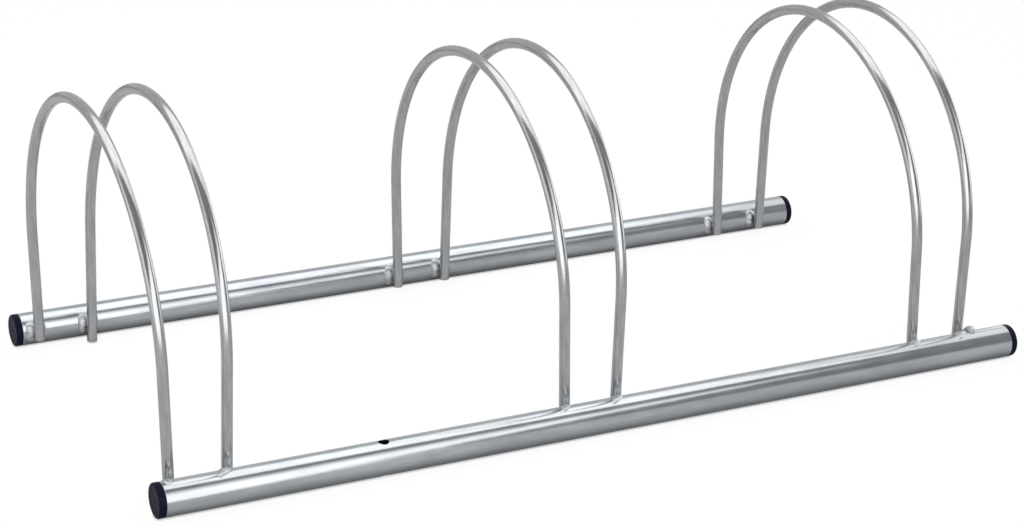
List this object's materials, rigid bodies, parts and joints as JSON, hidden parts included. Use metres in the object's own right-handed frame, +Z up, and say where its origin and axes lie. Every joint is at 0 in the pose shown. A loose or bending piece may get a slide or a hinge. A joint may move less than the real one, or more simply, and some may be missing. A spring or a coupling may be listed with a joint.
{
  "type": "floor bike rack",
  "caption": "Low floor rack for bicycles: round tube rails carry paired rod hoops, and the slot between neighbouring hoops holds a wheel upright.",
  "frame": {"origin": "on the floor, at the middle of the rack's length and depth", "axes": "+X along the rails, +Y from the front rail to the rear rail, +Z up"},
  "size_m": [0.7, 0.3548, 0.245],
  "materials": {
    "zinc_tube": "bright zinc plate over drawn steel tube",
    "zinc_rod": "satin zinc plate over bent steel rod",
    "zinc_weld": "rippled weld bead under zinc plate",
    "cap_plastic": "satin moulded plastic, near black with a blue cast"
  },
  "bodies": {
    "root": {"front_rail": "zinc_tube", "rear_rail": "zinc_tube", "cap_front_left": "cap_plastic", "cap_front_right": "cap_plastic", "cap_rear_left": "cap_plastic", "cap_rear_right": "cap_plastic", "hoop_1": "zinc_rod", "hoop_2": "zinc_rod", "hoop_3": "zinc_rod", "hoop_4": "zinc_rod", "hoop_5": "zinc_rod", "hoop_6": "zinc_rod", "weld_front_1_left": "zinc_weld", "weld_front_1_right": "zinc_weld", "weld_front_2_left": "zinc_weld", "weld_front_2_right": "zinc_weld", "weld_front_3_left": "zinc_weld", "weld_front_3_right": "zinc_weld", "weld_front_4_left": "zinc_weld", "weld_front_4_right": "zinc_weld", "weld_front_5_left": "zinc_weld", "weld_front_5_right": "zinc_weld", "weld_front_6_left": "zinc_weld", "weld_front_6_right": "zinc_weld", "weld_rear_1_left": "zinc_weld", "weld_rear_1_right": "zinc_weld", "weld_rear_2_left": "zinc_weld", "weld_rear_2_right": "zinc_weld", "weld_rear_3_left": "zinc_weld", "weld_rear_3_right": "zinc_weld", "weld_rear_4_left": "zinc_weld", "weld_rear_4_right": "zinc_weld", "weld_rear_5_left": "zinc_weld", "weld_rear_5_right": "zinc_weld", "weld_rear_6_left": "zinc_weld", "weld_rear_6_right": "zinc_weld"}
  },
  "joints": []
}
